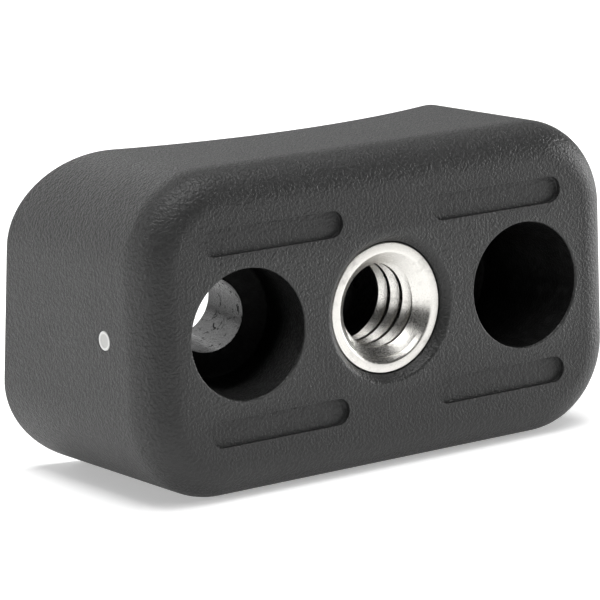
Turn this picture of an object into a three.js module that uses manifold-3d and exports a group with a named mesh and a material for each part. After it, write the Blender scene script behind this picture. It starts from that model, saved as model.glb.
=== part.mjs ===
// Mounting block: a moulded block with a saddle back, a threaded steel insert and two counterbored
// screw holes that lean in towards the middle of the saddle.
// Drawing frame: millimetres, front face on y = 0, depth along +Y, middle of the front face at x = z = 0.
// The finished group stands on z = 0 with the middle of its bounding box on x = y = 0.

import * as THREE from 'three';
import { mergeVertices } from 'three/addons/utils/BufferGeometryUtils.js';
import Module from 'manifold-3d';

// Block
const blockLength = 35.8;
const blockHeight = 20.2;
const cornerRadius = 5.8;
const frontFillet = 2.4;
const middleDepth = 11.6;

// Saddle back
const saddleRadius = 36;
const saddleLeanDegrees = 7.8;

// Screw holes, for M4 cap screws
const screwSpacing = 21.2;
const screwLeanDegrees = 12.2;
const counterboreDiameter = 8;
const counterboreDepth = 6.8;
const screwHoleDiameter = 4.8;

// Grip slots pressed into the front face, with their margins to the edge of its flat
const slotInnerEnd = 3.4;
const slotHeight = 1.65;
const slotDepth = 0.3;
const slotEndMargin = 1.95;
const slotSideMargin = 1.05;

// Threaded insert, 1/4"-20 UNC
const insertWall = 0.9;
const insertLength = 4.6;
const insertRecess = 0.5;
const insertRimWidth = 0.6;
const threadMajorDiameter = 6.4;
const threadMinorDiameter = 5.2;
const threadPitch = 1.27;
const grooveOffset = 1.4;
const grooveWidth = 1.5;
const grooveDepth = 0.4;
const knurlCount = 24;
const knurlDepth = 0.25;

// Seat of the insert in the block, and the blind hole for the end of the screw behind it
const insertClearance = 0.3;
const pocketBevel = 0.25;
const pocketBevelDepth = 0.3;
const screwTipClearance = 0.2;
const blindFloor = 3;

// Index pin in the end face
const pinDiameter = 1.2;
const pinLength = 3;
const pinSetback = 4.7;
const pinClearance = 0.15;

// Worked out from the sizes above
const insertDiameter = threadMajorDiameter + 2 * insertWall;
const insertMouthDiameter = insertDiameter - 2 * insertRimWidth;
const blindDiameter = threadMajorDiameter + screwTipClearance;
const blindEnd = middleDepth - blindFloor;
const slotOuterEnd = blockLength / 2 - frontFillet - slotEndMargin;
const slotOffset = blockHeight / 2 - frontFillet - slotSideMargin - slotHeight / 2;

// How far a cutter reaches past the face that it opens, and the fineness of round shapes
const overcut = 1;
const filletSegments = 5;
const cornerSegments = 7;
const saddleSegments = 144;
const boreSegments = 56;
const pinSegments = 24;
const threadStepsPerTurn = 30;

const radians = THREE.MathUtils.degToRad;
const wasm = await Module();
wasm.setup();

// ---- Between three.js geometry and solids ----

function toSolid(geometry) {
  const bare = geometry.clone();
  bare.deleteAttribute('normal');
  bare.deleteAttribute('uv');
  const merged = mergeVertices(bare);
  return new wasm.Manifold(new wasm.Mesh({
    numProp: 3,
    vertProperties: new Float32Array(merged.attributes.position.array),
    triVerts: new Uint32Array(merged.index.array),
  }));
}

function toGeometry(solid) {
  const mesh = solid.getMesh();
  const geometry = new THREE.BufferGeometry();
  geometry.setAttribute('position', new THREE.BufferAttribute(new Float32Array(mesh.vertProperties), 3));
  geometry.setIndex(new THREE.BufferAttribute(new Uint32Array(mesh.triVerts), 1));
  geometry.computeVertexNormals();
  return geometry;
}

function cut(solid, cutters) {
  return cutters.reduce((left, cutter) => left.subtract(toSolid(cutter)), solid);
}

// ---- Outlines and plain shapes ----

// A rectangle with round corners, centred on the origin.
function roundedRectangle(width, height, radius) {
  const x = width / 2 - radius;
  const y = height / 2 - radius;
  const outline = new THREE.Shape();
  outline.absarc(x, y, radius, 0, Math.PI / 2);
  outline.absarc(-x, y, radius, Math.PI / 2, Math.PI);
  outline.absarc(-x, -y, radius, Math.PI, Math.PI * 1.5);
  outline.absarc(x, -y, radius, Math.PI * 1.5, Math.PI * 2);
  return outline;
}

// An outline in the x-z plane pushed back along +Y, from y = start to y = start + depth.
function extrudeBack(outline, start, depth) {
  const geometry = new THREE.ExtrudeGeometry(outline, {
    depth,
    bevelEnabled: false,
    curveSegments: cornerSegments,
  });
  geometry.translate(0, 0, -start - depth);
  return geometry.rotateX(Math.PI / 2);
}

// A solid of revolution about the Y axis, from [radius, y] corners that start and end on the axis.
function turned(corners) {
  return new THREE.LatheGeometry(corners.map(([r, y]) => new THREE.Vector2(r, y)), boreSegments);
}

// ---- Block body ----

// The blank has the front fillet, and runs back to the middle of the saddle cylinder.
function blockBlank() {
  const flatLength = blockLength - 2 * frontFillet;
  const flatHeight = blockHeight - 2 * frontFillet;
  const blankDepth = middleDepth + saddleRadius;
  const geometry = new THREE.ExtrudeGeometry(
    roundedRectangle(flatLength, flatHeight, cornerRadius - frontFillet),
    {
      depth: blankDepth - 2 * frontFillet,
      bevelThickness: frontFillet,
      bevelSize: frontFillet,
      bevelSegments: filletSegments,
      curveSegments: cornerSegments,
    },
  );
  geometry.translate(0, 0, frontFillet - blankDepth);
  return geometry.rotateX(Math.PI / 2);
}

// The round bar that the back sits on. It leans towards the front at the top.
function saddleCutter() {
  const barLength = 2 * (blockHeight + saddleRadius);
  const geometry = new THREE.CylinderGeometry(saddleRadius, saddleRadius, barLength, saddleSegments);
  const lean = radians(saddleLeanDegrees);
  geometry.rotateX(Math.PI / 2 + lean);
  return geometry.translate(0, middleDepth + saddleRadius / Math.cos(lean), 0);
}

// A stepped screw hole. Side is -1 for the hole at -X and 1 for the one at +X.
function screwHoleCutter(side) {
  const head = counterboreDiameter / 2;
  const shank = screwHoleDiameter / 2;
  const end = middleDepth + saddleRadius;
  const mouth = -overcut - head;
  const geometry = turned([[0, mouth], [head, mouth], [head, counterboreDepth],
    [shank, counterboreDepth], [shank, end], [0, end]]);
  geometry.rotateZ(side * radians(screwLeanDegrees));
  return geometry.translate(side * screwSpacing / 2, 0, 0);
}

// One grip slot. Side is -1 or 1 along X, level is -1 or 1 along Z.
function slotCutter(side, level) {
  const length = slotOuterEnd - slotInnerEnd;
  const outline = roundedRectangle(length, slotHeight, slotHeight / 2);
  const geometry = extrudeBack(outline, -overcut, overcut + slotDepth);
  return geometry.translate(side * (slotInnerEnd + slotOuterEnd) / 2, 0, level * slotOffset);
}

// The insert's outside from front to back as [radius, y] corners, grown by a clearance.
function insertOutside(clearance) {
  const rim = insertDiameter / 2 + clearance;
  const waist = rim - grooveDepth;
  const grooveFront = insertRecess + grooveOffset + clearance;
  const grooveBack = insertRecess + grooveOffset + grooveWidth - clearance;
  const back = insertRecess + insertLength + clearance;
  return [[rim, grooveFront], [waist, grooveFront], [waist, grooveBack], [rim, grooveBack], [rim, back]];
}

// The pocket follows the insert's waist, so that the moulding grips it, and has a bevelled mouth.
// A narrower blind hole runs on behind it.
function pocketCutter() {
  const wall = insertDiameter / 2 + insertClearance;
  const mouth = wall + pocketBevel;
  const blind = blindDiameter / 2;
  const outside = insertOutside(insertClearance);
  const seatEnd = outside.at(-1)[1];
  return turned([[0, -overcut], [mouth, -overcut], [mouth, 0], [wall, pocketBevelDepth],
    ...outside, [blind, seatEnd], [blind, blindEnd], [0, blindEnd]]);
}

function pinHoleCutter() {
  const radius = pinDiameter / 2 + pinClearance;
  const depth = pinLength + pinClearance + overcut;
  const geometry = new THREE.CylinderGeometry(radius, radius, depth, pinSegments);
  geometry.rotateZ(Math.PI / 2);
  return geometry.translate(depth / 2 - overcut - blockLength / 2, pinSetback, 0);
}

function blockBody() {
  const slots = [-1, 1].flatMap((side) => [-1, 1].map((level) => slotCutter(side, level)));
  const screwHoles = [-1, 1].map((side) => screwHoleCutter(side));
  const cutters = [saddleCutter(), ...screwHoles, ...slots, pocketCutter(), pinHoleCutter()];
  return toGeometry(cut(toSolid(blockBlank()), cutters));
}

// ---- Threaded insert ----

// A right-handed helix about the Y axis. Its frames keep the section square to the axis.
class ThreadHelix extends THREE.Curve {
  constructor(radius, start, turns) {
    super();
    this.radius = radius;
    this.start = start;
    this.turns = turns;
  }

  getPoint(t, target = new THREE.Vector3()) {
    const angle = 2 * Math.PI * this.turns * t;
    const y = this.start + threadPitch * this.turns * t;
    return target.set(this.radius * Math.sin(angle), y, this.radius * Math.cos(angle));
  }

  computeFrenetFrames(segments) {
    const frames = { tangents: [], normals: [], binormals: [] };
    for (let i = 0; i <= segments; i += 1) {
      const angle = 2 * Math.PI * this.turns * i / segments;
      const outward = new THREE.Vector3(Math.sin(angle), 0, Math.cos(angle));
      const along = new THREE.Vector3(Math.cos(angle), 0, -Math.sin(angle));
      frames.tangents.push(along);
      frames.normals.push(outward);
      frames.binormals.push(new THREE.Vector3().crossVectors(along, outward));
    }
    return frames;
  }
}

// The V groove of the thread: an eighth of a pitch wide at its root, three quarters at the bore.
function threadCutter() {
  const bore = threadMinorDiameter / 2;
  const root = threadMajorDiameter / 2;
  const slope = (3 / 4 - 1 / 8) / 2 * threadPitch / (root - bore);
  const inner = bore - threadPitch / 4;
  const innerHalf = threadPitch / 16 + slope * (root - inner);
  const outline = new THREE.Shape([
    new THREE.Vector2(0, -innerHalf),
    new THREE.Vector2(root - inner, -threadPitch / 16),
    new THREE.Vector2(root - inner, threadPitch / 16),
    new THREE.Vector2(0, innerHalf),
  ]);
  const turns = Math.ceil(insertLength / threadPitch) + 2;
  const start = insertRecess - threadPitch;
  return new THREE.ExtrudeGeometry(outline, {
    steps: turns * threadStepsPerTurn,
    extrudePath: new ThreadHelix(inner, start, turns),
  });
}

// One straight groove of the knurl, as a square prism stood on its edge at the rim.
function knurlCutter(index) {
  const side = knurlDepth * Math.SQRT2;
  const front = insertRecess + grooveOffset + grooveWidth;
  const length = insertLength + insertRecess - front + overcut;
  const geometry = new THREE.BoxGeometry(side, length, side);
  geometry.rotateY(Math.PI / 4);
  geometry.translate(insertDiameter / 2, front + length / 2, 0);
  return geometry.rotateY(2 * Math.PI * index / knurlCount);
}

function insertBlank() {
  const rim = insertDiameter / 2;
  const mouth = insertMouthDiameter / 2;
  const bore = threadMinorDiameter / 2;
  const back = insertRecess + insertLength;
  const countersink = insertRecess + mouth - bore;
  return new THREE.LatheGeometry(
    [[bore, countersink], [mouth, insertRecess], [rim, insertRecess], ...insertOutside(0), [bore, back],
      [bore, countersink]].map(([r, y]) => new THREE.Vector2(r, y)),
    boreSegments,
  );
}

function threadedInsert() {
  const knurl = Array.from({ length: knurlCount }, (_, index) => knurlCutter(index));
  return toGeometry(cut(toSolid(insertBlank()), [threadCutter(), ...knurl]));
}

// ---- Index pin ----

function indexPin() {
  const geometry = new THREE.CylinderGeometry(pinDiameter / 2, pinDiameter / 2, pinLength, pinSegments);
  geometry.rotateZ(Math.PI / 2);
  return geometry.translate((pinLength - blockLength) / 2, pinSetback, 0);
}

// ---- Assembly ----

function piece(name, geometry, color, roughness, metalness) {
  const mesh = new THREE.Mesh(geometry, new THREE.MeshStandardMaterial({ color, roughness, metalness }));
  mesh.name = name;
  return mesh;
}

const block = piece('block_body', blockBody(), 0x2b2c2c, 0.6, 0);
const insert = piece('threaded_insert', threadedInsert(), 0xd6d5d0, 0.28, 1);
const pin = piece('index_pin', indexPin(), 0xd9d9d6, 0.4, 0);

const mountingBlock = new THREE.Group();
mountingBlock.add(block, insert, pin);
block.geometry.computeBoundingBox();
mountingBlock.position.set(0, -block.geometry.boundingBox.max.y / 2, blockHeight / 2);

export default mountingBlock;
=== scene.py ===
"""A small moulded mounting block with a saddle back.

Three pieces are built round the loaded frame: the moulded block body, the threaded steel insert in the
middle of its front face, and the index pin whose end shows in its left end face.

Every builder works in millimetres on a drawing frame: the front face lies on y = 0, the depth runs along
+Y, and the middle of the front face is at x = z = 0. A finished piece is then put in its place in metres.
"""

import math
from types import SimpleNamespace

import bmesh
import bpy
from bpy.props import FloatProperty, FloatVectorProperty, PointerProperty
from mathutils import Matrix, Vector


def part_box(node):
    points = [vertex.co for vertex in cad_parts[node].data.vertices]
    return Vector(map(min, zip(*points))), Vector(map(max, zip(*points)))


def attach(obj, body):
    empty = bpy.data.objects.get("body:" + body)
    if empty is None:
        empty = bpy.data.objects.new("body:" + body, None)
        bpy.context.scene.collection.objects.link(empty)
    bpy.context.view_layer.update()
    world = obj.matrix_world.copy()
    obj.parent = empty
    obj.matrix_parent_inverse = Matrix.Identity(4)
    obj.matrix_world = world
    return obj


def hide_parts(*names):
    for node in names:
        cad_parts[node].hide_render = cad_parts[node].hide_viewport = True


bl_info = {
    "name": "Mounting Block",
    "version": (1, 0, 0),
    "blender": (4, 5, 0),
    "location": "3D View > Sidebar > Mounting Block",
    "description": "Builds a moulded mounting block with a threaded steel insert and an index pin",
    "category": "Add Mesh",
}

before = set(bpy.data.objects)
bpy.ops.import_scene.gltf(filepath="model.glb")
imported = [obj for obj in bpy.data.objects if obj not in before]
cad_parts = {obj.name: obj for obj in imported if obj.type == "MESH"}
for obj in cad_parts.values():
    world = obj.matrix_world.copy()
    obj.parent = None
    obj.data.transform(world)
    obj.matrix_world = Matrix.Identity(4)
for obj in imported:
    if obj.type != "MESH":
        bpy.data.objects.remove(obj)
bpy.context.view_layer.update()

MM = 0.001
TOUCH = 0.001
WALL_MARGIN = 0.02
FULL_TURN = 2 * math.pi
SENSOR_WIDTH = 36.0
FLOOR_GLOW = 0.4
WORLD_STRENGTH = 0.02

BLOCK_LOW, BLOCK_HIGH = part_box("block_body")
INSERT_LOW, INSERT_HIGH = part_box("threaded_insert")
PIN_LOW, PIN_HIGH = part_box("index_pin")
BLOCK_SIZE = (BLOCK_HIGH - BLOCK_LOW) / MM
INSERT_SIZE = (INSERT_HIGH - INSERT_LOW) / MM
PIN_SIZE = (PIN_HIGH - PIN_LOW) / MM
PIN_SETBACK = (PIN_LOW.y + PIN_HIGH.y) / 2 / MM - BLOCK_LOW.y / MM
FACE_CENTRE = Vector(((BLOCK_LOW.x + BLOCK_HIGH.x) / 2, BLOCK_LOW.y, (BLOCK_LOW.z + BLOCK_HIGH.z) / 2))
DRAWING_TO_ROW = Matrix.Translation(FACE_CENTRE) @ Matrix.Scale(MM, 4)


# ---- Properties ----


def length(name, description, millimetres):
    return FloatProperty(
        name=name,
        description=description,
        default=millimetres * MM,
        min=0.0,
        precision=5,
        subtype="DISTANCE",
        unit="LENGTH",
    )


def angle(name, description, degrees):
    return FloatProperty(
        name=name,
        description=description,
        default=math.radians(degrees),
        subtype="ANGLE",
        unit="ROTATION",
    )


def colour(name, description, red, green, blue):
    return FloatVectorProperty(
        name=name,
        description=description,
        default=(red, green, blue, 1.0),
        min=0.0,
        max=1.0,
        size=4,
        subtype="COLOR",
    )


def share(name, description, value):
    return FloatProperty(
        name=name,
        description=description,
        default=value,
        min=0.0,
        max=1.0,
        subtype="FACTOR",
    )


class BlockSizes(bpy.types.PropertyGroup):
    """The moulded body"""

    body_length: length("Length", "From end face to end face", BLOCK_SIZE.x)
    height: length("Height", "From the bottom to the top", BLOCK_SIZE.z)
    corner_radius: length("Corner radius", "Round corners of the outline", 5.8)
    front_fillet: length("Front fillet", "Round edge between the front face and the sides", 2.4)
    back_edge: length("Back edge", "Round edge between the saddle and the sides", 0.22)
    middle_depth: length("Middle depth", "Front face to the saddle, at the middle", 11.6)
    saddle_radius: length("Saddle radius", "Radius of the bar that the back sits on", 36.0)
    saddle_lean: angle("Saddle lean", "Lean of that bar towards the front at its top", 7.8)
    saddle_strip: length("Saddle strip", "Width of one strip of the saddle surface", 0.6)
    screw_spacing: length("Screw spacing", "Between the two counterbores, on the front face", 21.2)
    screw_lean: angle("Screw lean", "How far each screw axis leans in to the saddle", 12.2)
    counterbore: length("Counterbore", "Diameter for the screw head", 8.0)
    counterbore_depth: length("Counterbore depth", "Along the screw axis", 6.8)
    screw_hole: length("Screw hole", "Diameter for the screw shank", 4.74)
    rim_round: length("Rim round", "Broken edge round each hole in the front face", 0.12)
    floor_round: length("Floor round", "Fillet between a counterbore's wall and its floor", 0.22)
    slot_inner_end: length("Slot inner end", "From the middle of the face to a grip slot", 3.4)
    slot_outer_end: length("Slot outer end", "From the middle of the face to the far end of a slot", 13.55)
    slot_offset: length("Slot offset", "Middle of the face to the middle of a slot, upwards", 5.825)
    slot_height: length("Slot height", "Width across one grip slot", 1.65)
    slot_depth: length("Slot depth", "How deep a grip slot is pressed in", 0.3)
    slot_round: length("Slot round", "Fillet round the floor of a grip slot", 0.05)
    slot_rim: length("Slot rim", "Broken edge round the mouth of a grip slot", 0.04)
    pocket_mouth: length("Pocket mouth", "Diameter of the bevelled mouth round the insert", 9.26)
    pocket_bevel: length("Pocket bevel", "Depth of that bevel", 0.45)
    pocket_wall: length("Pocket wall", "Diameter of the seat of the insert", 8.3)
    blind_hole: length("Blind hole", "Diameter of the hole behind the insert", 6.6)
    blind_end: length("Blind end", "Front face to the floor of that hole", 8.6)
    pin_seat: length("Pin seat", "Diameter of the hole round the index pin", 1.26)


class InsertSizes(bpy.types.PropertyGroup):
    """The threaded insert"""

    diameter: length("Diameter", "Outside of the rim", INSERT_SIZE.x)
    insert_length: length("Length", "Front rim to back end", INSERT_SIZE.y)
    recess: length("Recess", "How far the rim sits below the front face", (INSERT_LOW.y - BLOCK_LOW.y) / MM)
    mouth: length("Mouth", "Diameter of the countersink at the rim", 6.98)
    countersink_end: length("Countersink end", "Diameter where the countersink meets the thread", 5.36)
    countersink_depth: length("Countersink depth", "From the rim to the thread", 0.7)
    rim_round: length("Rim round", "Broken edges of the rim", 0.09)
    major: length("Major diameter", "Over the roots of the thread", 6.4)
    minor: length("Minor diameter", "Over the crests of the thread", 5.2)
    pitch: length("Pitch", "1/4 inch, 20 threads to the inch", 1.27)
    groove_offset: length("Groove offset", "From the rim to the anchoring groove", 1.4)
    groove_width: length("Groove width", "Width of the anchoring groove", 1.5)
    thread_start: length("Thread start", "From the rim to the middle of the first groove", 1.3)
    groove_depth: length("Groove depth", "Depth of the anchoring groove", 0.4)


class PinSizes(bpy.types.PropertyGroup):
    """The index pin"""

    diameter: length("Diameter", "Across the pin", PIN_SIZE.z)
    pin_length: length("Length", "End face to the inner end", PIN_SIZE.x)
    setback: length("Setback", "From the front face to the pin's axis", PIN_SETBACK)
    dish: length("Dish", "Depth of the hollow in the end", 0.07)
    rim: length("Rim", "Width of the raised rim", 0.14)


class Finishes(bpy.types.PropertyGroup):
    """Colours and textures"""

    polymer: colour("Polymer", "Black moulded polymer", 0.003, 0.003, 0.003)
    polymer_bloom: colour("Polymer bloom", "The paler crests of its grain", 0.02, 0.021, 0.02)
    # Darker than the polymer: painted shade for inside the counterbores.
    counterbore_painted_shade: colour("Counterbore painted shade", "The wall of a counterbore", 0.001, 0.001, 0.001)
    grain: length("Grain", "Size of one grain of the spark-eroded texture", 0.18)
    grain_depth: length("Grain depth", "Height of the grain on the sides", 0.075)
    face_grain: share("Face grain", "Height of the grain on the front face against the sides", 0.4)
    steel: colour("Steel", "Turned stainless steel", 0.7, 0.685, 0.65)
    steel_shade: colour("Steel shade", "Darker marks in the steel", 0.36, 0.35, 0.33)
    lathe_line: length("Lathe line", "Spacing of the tool marks on the rim", 0.07)
    pin_white: colour("Pin", "Off-white pin", 0.37, 0.37, 0.36)
    pin_rim: colour("Pin rim", "Brighter rim of the pin", 0.56, 0.56, 0.55)
    floor: colour("Floor", "Pale studio floor", 0.9, 0.9, 0.9)


class StageSettings(bpy.types.PropertyGroup):
    """Camera and studio"""

    turn: angle("Turn", "Camera direction round the block, from the front", -34.81)
    rise: angle("Rise", "Camera height above the level", 11.31)
    roll: angle("Roll", "Camera roll", -2.17)
    distance: length("Distance", "Camera to its aim", 213.1)
    aim_side: length("Aim side", "How far the aim is left of the middle", 6.79)
    aim_height: length("Aim height", "How far the aim is above the middle", 1.55)
    lens: FloatProperty(name="Lens", description="Focal length in millimetres", default=211.85, min=1.0)
    floor_size: length("Floor size", "Edge of the square floor", 4000.0)


PROPERTY_GROUPS = {
    "mounting_block_body": BlockSizes,
    "mounting_block_insert": InsertSizes,
    "mounting_block_pin": PinSizes,
    "mounting_block_finishes": Finishes,
    "mounting_block_stage": StageSettings,
}


def in_millimetres(group):
    """A property group's values, with its lengths turned into millimetres."""
    kinds = group.bl_rna.properties
    values = {}
    for name in type(group).__annotations__:
        value = getattr(group, name)
        values[name] = value / MM if kinds[name].subtype == "DISTANCE" else value
    return SimpleNamespace(**values)


# ---- Shapes ----


def verts_of(geometry):
    return [g for g in geometry if isinstance(g, bmesh.types.BMVert)]


def middle(edge):
    return (edge.verts[0].co + edge.verts[1].co) / 2


def rounded_plate(width, height, radius, segments):
    """A rectangle with round corners in the x-z plane, facing -Y."""
    bm = bmesh.new()
    corners = bmesh.ops.create_grid(bm, x_segments=1, y_segments=1, size=0.5)["verts"]
    bmesh.ops.scale(bm, vec=(width, height, 1), verts=corners)
    round_off(bm, corners, radius, segments, affect="VERTICES")
    bmesh.ops.rotate(bm, verts=bm.verts, cent=(0, 0, 0), matrix=Matrix.Rotation(math.pi / 2, 3, "X"))
    return bm


def round_off(bm, geometry, offset, segments, affect="EDGES"):
    """Rounds edges, or the corners of an outline. Returns the new faces."""
    made = bmesh.ops.bevel(
        bm,
        geom=geometry,
        offset=offset,
        offset_type="OFFSET",
        segments=segments,
        profile=0.5,
        affect=affect,
        clamp_overlap=False,
        material=-1,
    )
    return made["faces"]


def push_back(bm, depth):
    """Gives a flat plate its depth along +Y, as a closed solid."""
    moved = bmesh.ops.extrude_face_region(bm, geom=bm.faces[:])["geom"]
    bmesh.ops.translate(bm, vec=(0, depth, 0), verts=verts_of(moved))
    bmesh.ops.recalc_face_normals(bm, faces=bm.faces[:])


def move(bm, x=0.0, y=0.0, z=0.0):
    bmesh.ops.translate(bm, vec=(x, y, z), verts=bm.verts)


def turn(bm, angle_, axis):
    bmesh.ops.rotate(bm, verts=bm.verts, cent=(0, 0, 0), matrix=Matrix.Rotation(angle_, 3, axis))


def turned(corners, steps, closed=False):
    """A solid of revolution about the Y axis, from (radius, y, rounding) corners.

    The profile starts and ends on the axis, or is closed on itself."""
    bm = bmesh.new()
    verts = [bm.verts.new((radius, y, 0)) for radius, y, _ in corners]
    for pair in zip(verts, verts[1:]):
        bm.edges.new(pair)
    if closed:
        bm.edges.new((verts[-1], verts[0]))
    for rounding in sorted({r for _, _, r in corners if r > 0}):
        chosen = [v for v, corner in zip(verts, corners) if v.is_valid and corner[2] == rounding]
        round_off(bm, chosen, rounding, 5, affect="VERTICES")
    bmesh.ops.spin(
        bm,
        geom=bm.verts[:] + bm.edges[:],
        cent=(0, 0, 0),
        axis=(0, 1, 0),
        angle=FULL_TURN,
        steps=steps,
        use_merge=True,
    )
    bmesh.ops.remove_doubles(bm, verts=bm.verts[:], dist=TOUCH / 10)
    bmesh.ops.recalc_face_normals(bm, faces=bm.faces[:])
    return bm


def as_object(bm, name):
    mesh = bpy.data.meshes.new(name)
    bm.to_mesh(mesh)
    bm.free()
    made = bpy.data.objects.new(name, mesh)
    bpy.context.scene.collection.objects.link(made)
    return made


def cut(bm, cutters):
    """Takes the cutters away from the solid and gives back what is left."""
    body = as_object(bm, "uncut")
    tools = [as_object(cutter, f"cutter_{number}") for number, cutter in enumerate(cutters)]
    for tool in tools:
        boolean = body.modifiers.new(tool.name, "BOOLEAN")
        boolean.operation = "DIFFERENCE"
        boolean.solver = "EXACT"
        boolean.object = tool
    left = bmesh.new()
    left.from_object(body, bpy.context.evaluated_depsgraph_get())
    for made in [body, *tools]:
        mesh = made.data
        bpy.data.objects.remove(made)
        bpy.data.meshes.remove(mesh)
    bmesh.ops.remove_doubles(left, verts=left.verts[:], dist=TOUCH)
    bmesh.ops.dissolve_degenerate(left, edges=left.edges[:], dist=TOUCH)
    if any(not e.is_manifold for e in left.edges):
        raise RuntimeError("a cut left the solid open")
    return left


def sharp_edges(bm, degrees, wanted):
    limit = math.radians(degrees)
    return [e for e in bm.edges if e.is_manifold and e.calc_face_angle() > limit and wanted(middle(e))]


def mark_wear_and_glint(bm, faces):
    """Records the broken edges in an attribute, for the finish to read: it paints them paler, partly as edge
    wear and partly as a painted highlight on the rims.
    """
    layer = bm.verts.layers.float.get("edge_wear_and_glint") or bm.verts.layers.float.new("edge_wear_and_glint")
    for face in faces:
        for vert in face.verts:
            vert[layer] = 1.0


def finish_piece(bm, name, node, materials, crease=32.0):
    """Puts a solid in its place, gives it its finish, and lets it stand for its CAD node."""
    bmesh.ops.transform(bm, matrix=DRAWING_TO_ROW, verts=bm.verts)
    for face in bm.faces:
        face.smooth = True
    made = as_object(bm, name)
    made.data.set_sharp_from_angle(angle=math.radians(crease))
    for material in materials:
        made.data.materials.append(material)
    weighted = made.modifiers.new("Weighted normals", "WEIGHTED_NORMAL")
    weighted.keep_sharp = True
    weighted.weight = 80
    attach(made, "root")
    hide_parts(node)
    return made


# ---- Block body ----


def saddle_depth(s, x, z):
    """Depth of the block at a point of its outline: the bar is nearer the front at its top."""
    rise = (s.saddle_radius - math.sqrt(s.saddle_radius**2 - x**2)) / math.cos(s.saddle_lean)
    return s.middle_depth + rise - z * math.tan(s.saddle_lean)


def block_blank(s):
    """The outline pushed back, with its two rims rounded, then bent to the saddle."""
    bm = rounded_plate(s.body_length, s.height, s.corner_radius, 28)
    push_back(bm, s.middle_depth)
    for level, offset, segments in ((0, s.front_fillet, 14), (s.middle_depth, s.back_edge, 8)):
        rim = [e for e in bm.edges if all(abs(v.co.y - level) < TOUCH for v in e.verts)]
        round_off(bm, rim, offset, segments)
    back_start = s.middle_depth - s.back_edge - TOUCH
    strips = int(s.body_length / s.saddle_strip)
    for number in range(1, strips):
        x = (number / strips - 1 / 2) * s.body_length
        back = [f for f in bm.faces if all(v.co.y > back_start for v in f.verts)]
        parts = {part for f in back for part in (f, *f.edges, *f.verts)}
        bmesh.ops.bisect_plane(bm, geom=list(parts), dist=TOUCH, plane_co=(x, 0, 0), plane_no=(1, 0, 0))
    for vert in bm.verts:
        if vert.co.y > back_start:
            vert.co.y += saddle_depth(s, vert.co.x, vert.co.z) - s.middle_depth
    return bm


def screw_hole_cutter(s, side):
    head = s.counterbore / 2
    shank = s.screw_hole / 2
    end = s.middle_depth + s.saddle_radius
    bm = turned(
        [
            (0, -head, 0),
            (head, -head, 0),
            (head, s.counterbore_depth, s.floor_round),
            (shank, s.counterbore_depth, s.rim_round),
            (shank, end, 0),
            (0, end, 0),
        ],
        128,
    )
    turn(bm, side * s.screw_lean, "Z")
    move(bm, x=side * s.screw_spacing / 2)
    return bm


def slot_cutter(s, side, level):
    reach = s.slot_depth + 1
    bm = rounded_plate(s.slot_outer_end - s.slot_inner_end, s.slot_height, s.slot_height / 2 - TOUCH, 14)
    push_back(bm, reach)
    floor_rim = [e for e in bm.edges if all(abs(v.co.y - reach) < TOUCH for v in e.verts)]
    round_off(bm, floor_rim, s.slot_round, 4)
    move(bm, x=side * (s.slot_inner_end + s.slot_outer_end) / 2, y=-1, z=level * s.slot_offset)
    return bm


def pocket_cutter(s, insert):
    mouth = s.pocket_mouth / 2
    wall = s.pocket_wall / 2
    blind = s.blind_hole / 2
    seat_end = insert.recess + insert.insert_length + (s.pocket_wall - insert.diameter) / 2
    return turned(
        [
            (0, -1, 0),
            (mouth, -1, 0),
            (mouth, 0, 0),
            (wall, s.pocket_bevel, 0.12),
            (wall, seat_end, 0),
            (blind, seat_end, 0.1),
            (blind, s.blind_end, 0.3),
            (0, s.blind_end, 0),
        ],
        128,
    )


def pin_seat_cutter(s, pin):
    seat = s.pin_seat / 2
    end = pin.pin_length + TOUCH
    bm = turned([(0, -1, 0), (seat, -1, 0), (seat, end, 0), (0, end, 0)], 48)
    turn(bm, -math.pi / 2, "Z")
    move(bm, x=-s.body_length / 2, y=pin.setback)
    return bm


def build_block(s, insert, pin, materials):
    bm = block_blank(s)
    cutters = [screw_hole_cutter(s, side) for side in (-1, 1)]
    cutters += [slot_cutter(s, side, level) for side in (-1, 1) for level in (-1, 1)]
    cutters += [pocket_cutter(s, insert), pin_seat_cutter(s, pin)]
    bm = cut(bm, cutters)
    slot_start = s.slot_offset - s.slot_height / 2 - TOUCH
    slot_rims = sharp_edges(bm, 30, lambda p: abs(p.y) < TOUCH and abs(p.z) > slot_start)
    round_off(bm, slot_rims, s.slot_rim, 2)
    rims = sharp_edges(bm, 30, lambda p: abs(p.y) < TOUCH and abs(p.z) < slot_start)
    # The rounded rims are recorded for paler paint: part edge wear, part painted highlight.
    mark_wear_and_glint(bm, round_off(bm, rims, s.rim_round, 4))
    exits = sharp_edges(bm, 30, lambda p: p.y > s.counterbore_depth + 1 and abs(p.x) < s.screw_spacing / 2)
    mark_wear_and_glint(bm, round_off(bm, exits, s.rim_round * 2, 3))
    seat_edge = sharp_edges(
        bm,
        50,
        lambda p: p.x < TOUCH - s.body_length / 2 and abs(p.z) < 1 and abs(p.y - pin.setback) < 1,
    )
    round_off(bm, seat_edge, s.rim_round / 3, 2)
    # Screw holes and counterbores get finishes with painted shade.
    for face in bm.faces:
        face.material_index = wall_material(s, face.calc_center_median())
    return finish_piece(bm, "moulded_block", "block_body", materials)


def wall_material(s, point):
    """0 for the outside of the block, 1 for the wall of a screw hole, 2 for a counterbore. 1 and 2 are
    finishes with painted shade for inside the holes.
    """
    for side in (-1, 1):
        lean = side * s.screw_lean
        along = Vector((-math.sin(lean), math.cos(lean), 0))
        reach = point - Vector((side * s.screw_spacing / 2, 0, 0))
        depth = reach.dot(along)
        radius = (reach - depth * along).length
        if radius < s.screw_hole / 2 + WALL_MARGIN and depth > s.counterbore_depth + s.rim_round:
            return 1
        if radius < s.counterbore / 2 + WALL_MARGIN and point.y > s.rim_round + TOUCH:
            return 2 if depth < s.counterbore_depth + s.rim_round else 0
    return 0


# ---- Threaded insert ----


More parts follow.
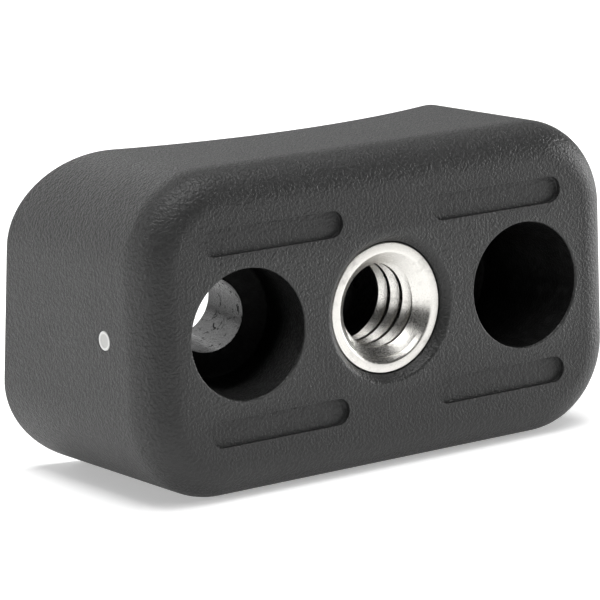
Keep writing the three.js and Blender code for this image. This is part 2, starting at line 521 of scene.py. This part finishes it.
def thread_cutter(s):
    """The V groove of the thread, as one closed ridge wound along the bore."""
    inner = s.minor / 2 - 0.1
    root = s.major / 2
    slope = (3 / 4 - 1 / 8) / 2 * s.pitch / (root - s.minor / 2)
    root_half = s.pitch / 16
    inner_half = root_half + slope * (root - inner)
    turns = math.ceil(s.insert_length / s.pitch) + 4
    steps = 72
    bm = bmesh.new()
    corners = [(inner, -inner_half), (root, -root_half), (root, root_half), (inner, inner_half)]
    section = bm.faces.new([bm.verts.new((0, y, radius)) for radius, y in corners])
    bmesh.ops.translate(bm, vec=(0, s.recess + s.thread_start - 2.25 * s.pitch, 0), verts=bm.verts)
    bmesh.ops.spin(
        bm,
        geom=[section, *section.edges, *section.verts],
        cent=(0, 0, 0),
        axis=(0, 1, 0),
        dvec=(0, s.pitch / steps, 0),
        angle=FULL_TURN * turns,
        steps=steps * turns,
    )
    bmesh.ops.recalc_face_normals(bm, faces=bm.faces[:])
    return bm


def build_insert(s, materials):
    rim = s.diameter / 2
    mouth = s.mouth / 2
    bore = s.minor / 2
    back = s.recess + s.insert_length
    groove_front = s.recess + s.groove_offset
    groove_back = groove_front + s.groove_width
    countersink = s.recess + s.countersink_depth
    bm = turned(
        [
            (bore, countersink + s.countersink_end / 2 - bore, 0),
            (s.countersink_end / 2, countersink, 0),
            (mouth, s.recess, s.rim_round),
            (rim, s.recess, s.rim_round),
            (rim, groove_front, 0.1),
            (rim - s.groove_depth, groove_front, 0.1),
            (rim - s.groove_depth, groove_back, 0.1),
            (rim, groove_back, 0.1),
            (rim, back, 0.15),
            (bore, back, 0.15),
        ],
        144,
        closed=True,
    )
    bm = cut(bm, [thread_cutter(s)])
    for face in bm.faces:
        centre = face.calc_center_median()
        radius = math.hypot(centre.x, centre.z)
        if radius < s.mouth / 2 - TOUCH:
            face.material_index = 1
    return finish_piece(bm, "steel_insert", "threaded_insert", materials, crease=24.0)


# ---- Index pin ----


def build_pin(s, block, materials):
    radius = s.diameter / 2
    inner = radius - s.rim
    bm = turned(
        [
            (0, s.dish, 0),
            (inner - s.dish, s.dish, 0.05),
            (inner, 0.004, 0.03),
            (radius, 0, 0.05),
            (radius, s.pin_length, 0.1),
            (0, s.pin_length, 0),
        ],
        64,
    )
    turn(bm, -math.pi / 2, "Z")
    move(bm, x=-block.body_length / 2, y=s.setback)
    return finish_piece(bm, "index_pin_end", "index_pin", materials)


# ---- Finishes ----


class Finish:
    """A node material whose pattern is measured in millimetres on the piece."""

    def __init__(self, name):
        self.material = bpy.data.materials.new(name)
        self.material.use_nodes = True
        self.tree = self.material.node_tree
        self.shader = self.tree.nodes["Principled BSDF"]
        coordinates = self.node("ShaderNodeTexCoord")
        mapping = self.node("ShaderNodeMapping", Scale=(1 / MM,) * 3, Location=-FACE_CENTRE / MM)
        self.link(coordinates.outputs["Object"], mapping.inputs["Vector"])
        self.place = mapping.outputs["Vector"]

    def node(self, kind, settings=None, **inputs):
        made = self.tree.nodes.new(kind)
        for name, value in (settings or {}).items():
            setattr(made, name, value)
        for name, value in inputs.items():
            socket = made.inputs[name.replace("_", " ")]
            if isinstance(value, bpy.types.NodeSocket):
                self.link(value, socket)
            else:
                socket.default_value = value
        return made

    def link(self, start, end):
        self.tree.links.new(start, end)

    def noise(self, size, detail=2.0, roughness=0.5, distortion=0.0):
        made = self.node(
            "ShaderNodeTexNoise",
            Vector=self.place,
            Scale=1 / size,
            Detail=detail,
            Roughness=roughness,
            Distortion=distortion,
        )
        return made.outputs["Fac"]

    def ramp(self, value, low, high, out_low=0.0, out_high=1.0, smooth=True):
        made = self.node("ShaderNodeMapRange", {"interpolation_type": "SMOOTHSTEP" if smooth else "LINEAR"})
        self.link(value, made.inputs["Value"])
        limits = {"From Min": low, "From Max": high, "To Min": out_low, "To Max": out_high}
        for name, number in limits.items():
            made.inputs[name].default_value = number
        return made.outputs["Result"]

    def math(self, operation, first, second):
        made = self.node("ShaderNodeMath", {"operation": operation})
        for value, socket in ((first, made.inputs[0]), (second, made.inputs[1])):
            if isinstance(value, bpy.types.NodeSocket):
                self.link(value, socket)
            else:
                socket.default_value = value
        return made.outputs["Value"]

    def mix(self, factor, first, second):
        made = self.node("ShaderNodeMix", {"data_type": "RGBA"})
        self.link(factor, made.inputs["Factor"])
        for value, name in ((first, "A"), (second, "B")):
            socket = next(i for i in made.inputs if i.name == name and i.type == "RGBA")
            if isinstance(value, bpy.types.NodeSocket):
                self.link(value, socket)
            else:
                socket.default_value = value
        return next(o for o in made.outputs if o.type == "RGBA")

    def bump(self, height, distance_mm, normal=None):
        made = self.node("ShaderNodeBump", Height=height, Distance=distance_mm * MM)
        if normal is not None:
            self.link(normal, made.inputs["Normal"])
        return made.outputs["Normal"]


def moulded_polymer(colours):
    """Black polymer with a spark-eroded grain: coarse on the sides, flatter on the front face. Its broken
    edges are painted paler, partly as wear and partly as a painted highlight.
    """
    finish = Finish("Moulded black polymer")
    axes = finish.node("ShaderNodeSeparateXYZ", Vector=finish.place).outputs
    side = finish.ramp(axes["Y"], 0.4, 1.8, colours.face_grain, 1.0)
    blobs = finish.noise(colours.grain, detail=1.5, roughness=0.6)
    fine = finish.noise(colours.grain / 3, detail=2.0)
    pits = finish.node(
        "ShaderNodeTexVoronoi",
        {"feature": "SMOOTH_F1"},
        Vector=finish.place,
        Scale=1 / (colours.grain * 1.6),
        Smoothness=0.4,
    ).outputs["Distance"]
    crests = finish.ramp(blobs, 0.36, 0.66)
    height = finish.math("ADD", finish.math("MULTIPLY", crests, 0.7), finish.math("MULTIPLY", fine, 0.35))
    height = finish.math("ADD", height, finish.math("MULTIPLY", pits, 0.5))
    height = finish.math("MULTIPLY", height, side)
    wear_and_glint = finish.node("ShaderNodeAttribute", {"attribute_name": "edge_wear_and_glint"}).outputs["Fac"]
    patches = finish.noise(6.0, detail=3.0)
    pale = finish.math("MULTIPLY", crests, finish.ramp(patches, 0.3, 0.75, 0.35, 0.8))
    pale = finish.math("MULTIPLY", pale, side)
    # Broken edges painted paler: partly edge wear, partly a painted highlight along the rims.
    pale = finish.math("MAXIMUM", pale, finish.math("MULTIPLY", wear_and_glint, 0.4))
    finish.link(finish.mix(pale, colours.polymer, colours.polymer_bloom), finish.shader.inputs["Base Color"])
    polish = finish.math("MULTIPLY", wear_and_glint, 0.1)
    rough = finish.math("SUBTRACT", finish.ramp(fine, 0.3, 0.7, 0.42, 0.6), polish)
    finish.link(rough, finish.shader.inputs["Roughness"])
    finish.link(finish.bump(height, colours.grain_depth), finish.shader.inputs["Normal"])
    finish.shader.inputs["IOR"].default_value = 1.52
    return finish.material


def drilled_polymer(colours):
    """The smoother wall of a screw hole, with a few dark pores, and little shine as painted shade inside the
    hole.
    """
    finish = Finish("Smooth black polymer")
    fine = finish.noise(0.11, detail=3.0, roughness=0.7)
    pores = finish.noise(0.5, detail=1.0, distortion=1.5)
    pore = finish.ramp(pores, 0.66, 0.7)
    streak = finish.ramp(fine, 0.35, 0.7, 0.24, 0.44)
    rough = finish.math("ADD", streak, finish.math("MULTIPLY", pore, 0.4))
    finish.link(rough, finish.shader.inputs["Roughness"])
    base = finish.mix(finish.ramp(fine, 0.5, 0.75), colours.polymer, colours.polymer_bloom)
    finish.link(base, finish.shader.inputs["Base Color"])
    height = finish.math("SUBTRACT", finish.math("MULTIPLY", fine, 0.3), pore)
    finish.link(finish.bump(height, 0.02), finish.shader.inputs["Normal"])
    # Low shine: painted shade inside the screw hole.
    finish.shader.inputs["Specular IOR Level"].default_value = 0.1
    return finish.material


def counterbore_shade_polymer(colours):
    """The wall and floor of a counterbore, torn rough by the tool, painted darker and less shiny as the
    shade inside the counterbore.
    """
    finish = Finish("Black polymer with painted counterbore shade")
    fine = finish.noise(colours.grain, detail=3.0, roughness=0.7)
    torn = finish.noise(colours.grain * 4, detail=4.0, roughness=0.75)
    # Base colour darker than the outside: painted shade inside the counterbore.
    base = finish.mix(finish.ramp(torn, 0.45, 0.75, 0.0, 0.5), colours.counterbore_painted_shade, colours.polymer_bloom)
    finish.link(base, finish.shader.inputs["Base Color"])
    finish.link(finish.ramp(fine, 0.3, 0.7, 0.42, 0.62), finish.shader.inputs["Roughness"])
    height = finish.math("ADD", finish.math("MULTIPLY", torn, 0.8), fine)
    finish.link(finish.bump(height, colours.grain_depth), finish.shader.inputs["Normal"])
    # Low shine: also painted shade inside the counterbore.
    finish.shader.inputs["Specular IOR Level"].default_value = 0.16
    return finish.material


def turned_steel(colours, name, rough_low, rough_high, line_depth):
    """Stainless steel with concentric tool marks and a little staining."""
    finish = Finish(name)
    rings = finish.node(
        "ShaderNodeTexWave",
        {"wave_type": "RINGS", "rings_direction": "Y", "wave_profile": "SIN"},
        Vector=finish.place,
        Scale=0.314 / colours.lathe_line,
        Distortion=0.35,
        Detail=2.0,
    ).outputs["Fac"]
    fine = finish.noise(0.05, detail=3.0, roughness=0.65)
    stains = finish.noise(0.8, detail=4.0, roughness=0.6)
    stain = finish.ramp(stains, 0.52, 0.78, 0.0, 0.5)
    finish.link(finish.mix(stain, colours.steel, colours.steel_shade), finish.shader.inputs["Base Color"])
    dulled = finish.math("MULTIPLY", stain, 0.15)
    rough = finish.math("ADD", finish.ramp(fine, 0.3, 0.7, rough_low, rough_high), dulled)
    finish.link(rough, finish.shader.inputs["Roughness"])
    height = finish.math("ADD", finish.math("MULTIPLY", rings, 0.8), finish.math("MULTIPLY", fine, 0.4))
    finish.link(finish.bump(height, line_depth), finish.shader.inputs["Normal"])
    finish.shader.inputs["Metallic"].default_value = 1.0
    return finish.material


def pin_plastic(colours, pin):
    """Off-white plastic, brightest on the rim of the dished end."""
    finish = Finish("Off-white pin plastic")
    axes = finish.node("ShaderNodeSeparateXYZ", Vector=finish.place).outputs
    across = finish.math("SUBTRACT", axes["Y"], pin.setback)
    squares = finish.math("ADD", finish.math("POWER", across, 2.0), finish.math("POWER", axes["Z"], 2.0))
    radius = finish.math("POWER", squares, 0.5)
    rim = finish.ramp(radius, pin.diameter / 2 - pin.rim * 1.6, pin.diameter / 2 - pin.rim * 0.8)
    speck = finish.noise(0.09, detail=3.0)
    finish.link(finish.mix(rim, colours.pin_white, colours.pin_rim), finish.shader.inputs["Base Color"])
    finish.link(finish.ramp(speck, 0.3, 0.7, 0.28, 0.45), finish.shader.inputs["Roughness"])
    finish.link(finish.bump(speck, 0.008), finish.shader.inputs["Normal"])
    return finish.material


def floor_paint(colours):
    """A plain pale matt floor, which glows a little so that it stays white round the block."""
    finish = Finish("Pale floor")
    mottle = finish.noise(40.0, detail=2.0)
    finish.link(finish.ramp(mottle, 0.2, 0.8, 0.75, 0.85), finish.shader.inputs["Roughness"])
    finish.shader.inputs["Base Color"].default_value = colours.floor
    finish.shader.inputs["Emission Color"].default_value = colours.floor
    finish.shader.inputs["Emission Strength"].default_value = FLOOR_GLOW
    finish.shader.inputs["Specular IOR Level"].default_value = 0.2
    return finish.material


# ---- Stage ----


def soft_light(name, place, aim, width, height, power):
    data = bpy.data.lights.new(name, "AREA")
    data.shape = "RECTANGLE"
    data.size = width
    data.size_y = height
    data.energy = power
    light = bpy.data.objects.new(name, data)
    bpy.context.scene.collection.objects.link(light)
    light.location = place
    light.rotation_euler = (Vector(aim) - Vector(place)).to_track_quat("-Z", "Y").to_euler()
    return light


def build_stage(s, colours):
    bm = bmesh.new()
    bmesh.ops.create_grid(bm, x_segments=1, y_segments=1, size=s.floor_size * MM / 2)
    floor = as_object(bm, "floor")
    floor.data.materials.append(floor_paint(colours))

    world = bpy.data.worlds.new("Studio")
    bpy.context.scene.world = world
    world.use_nodes = True
    world.node_tree.nodes["Background"].inputs["Color"].default_value = (1.0, 1.0, 1.0, 1.0)
    world.node_tree.nodes["Background"].inputs["Strength"].default_value = WORLD_STRENGTH

    aim = (0.0, 0.0, FACE_CENTRE.z)
    soft_light("Top softbox", (0.0, 0.0, 0.6), aim, 0.5, 0.5, 3.9)
    soft_light("High front fill", (-0.1, -0.35, 0.55), aim, 0.4, 0.4, 1.35)
    soft_light("Left strip", (-0.6, 0.15, 0.05), aim, 0.4, 0.1, 2.1)
    soft_light("Right strip", (0.6, -0.1, 0.08), aim, 0.4, 0.15, 2.1)
    soft_light("Back softbox", (0.0, 0.6, 0.2), aim, 0.6, 0.3, 1.5)
    soft_light("Back right softbox", (0.45, 0.45, 0.25), aim, 0.4, 0.4, 0.4)
    bpy.context.scene.view_settings.view_transform = "Standard"


def place_camera(s):
    back = Vector(
        (
            math.sin(s.turn) * math.cos(s.rise),
            -math.cos(s.turn) * math.cos(s.rise),
            math.sin(s.rise),
        )
    )
    right = (-back).cross(Vector((0, 0, 1))).normalized()
    up = right.cross(-back)
    rolled = math.cos(s.roll) * right + math.sin(s.roll) * up
    upright = math.cos(s.roll) * up - math.sin(s.roll) * right
    aim = DRAWING_TO_ROW @ Vector((-s.aim_side, 0, s.aim_height))
    eye = aim + back * s.distance * MM
    data = bpy.data.cameras.new("Camera")
    data.lens = s.lens
    data.sensor_width = SENSOR_WIDTH
    data.clip_start = 0.01
    camera = bpy.data.objects.new("Camera", data)
    bpy.context.scene.collection.objects.link(camera)
    turn_to = Matrix((rolled, upright, back)).transposed().to_4x4()
    camera.matrix_world = Matrix.Translation(eye) @ turn_to
    bpy.context.scene.camera = camera


# ---- Operators ----


class MOUNTING_BLOCK_OT_stage(bpy.types.Operator):
    """Set up the pale floor, the soft studio light and the camera"""

    bl_idname = "mounting_block.stage"
    bl_label = "Stage"

    def execute(self, context):
        settings = in_millimetres(context.scene.mounting_block_stage)
        build_stage(settings, in_millimetres(context.scene.mounting_block_finishes))
        place_camera(settings)
        return {"FINISHED"}


class MOUNTING_BLOCK_OT_body(bpy.types.Operator):
    """Build the moulded body with its saddle, screw holes, grip slots and pocket"""

    bl_idname = "mounting_block.body"
    bl_label = "Block body"

    def execute(self, context):
        scene = context.scene
        colours = in_millimetres(scene.mounting_block_finishes)
        build_block(
            in_millimetres(scene.mounting_block_body),
            in_millimetres(scene.mounting_block_insert),
            in_millimetres(scene.mounting_block_pin),
            [moulded_polymer(colours), drilled_polymer(colours), counterbore_shade_polymer(colours)],
        )
        return {"FINISHED"}


class MOUNTING_BLOCK_OT_insert(bpy.types.Operator):
    """Build the steel insert with its countersink and thread"""

    bl_idname = "mounting_block.insert"
    bl_label = "Threaded insert"

    def execute(self, context):
        colours = in_millimetres(context.scene.mounting_block_finishes)
        rim = turned_steel(colours, "Turned steel rim", 0.24, 0.36, 0.004)
        bore = turned_steel(colours, "Cut steel thread", 0.2, 0.34, 0.003)
        build_insert(in_millimetres(context.scene.mounting_block_insert), [rim, bore])
        return {"FINISHED"}


class MOUNTING_BLOCK_OT_pin(bpy.types.Operator):
    """Build the index pin with its dished end"""

    bl_idname = "mounting_block.pin"
    bl_label = "Index pin"

    def execute(self, context):
        scene = context.scene
        pin = in_millimetres(scene.mounting_block_pin)
        block = in_millimetres(scene.mounting_block_body)
        build_pin(pin, block, [pin_plastic(in_millimetres(scene.mounting_block_finishes), pin)])
        return {"FINISHED"}


class MOUNTING_BLOCK_PT_panel(bpy.types.Panel):
    """Lists the pieces and the values that shape them"""

    bl_idname = "MOUNTING_BLOCK_PT_panel"
    bl_label = "Mounting Block"
    bl_space_type = "VIEW_3D"
    bl_region_type = "UI"
    bl_category = "Mounting Block"

    def draw(self, context):
        for operator in OPERATORS:
            self.layout.operator(operator.bl_idname)
        for name, group_class in PROPERTY_GROUPS.items():
            box = self.layout.box()
            box.label(text=group_class.__doc__)
            for value in group_class.__annotations__:
                box.prop(getattr(context.scene, name), value)


OPERATORS = (
    MOUNTING_BLOCK_OT_stage,
    MOUNTING_BLOCK_OT_body,
    MOUNTING_BLOCK_OT_insert,
    MOUNTING_BLOCK_OT_pin,
)
CLASSES = (*PROPERTY_GROUPS.values(), *OPERATORS, MOUNTING_BLOCK_PT_panel)


def register():
    for each in CLASSES:
        bpy.utils.register_class(each)
    for name, group_class in PROPERTY_GROUPS.items():
        setattr(bpy.types.Scene, name, PointerProperty(type=group_class))


def unregister():
    for name in PROPERTY_GROUPS:
        delattr(bpy.types.Scene, name)
    for each in reversed(CLASSES):
        bpy.utils.unregister_class(each)


def main():
    register()
    bpy.ops.mounting_block.stage()
    bpy.ops.mounting_block.body()
    bpy.ops.mounting_block.insert()
    bpy.ops.mounting_block.pin()


if __name__ == "__main__":
    main()
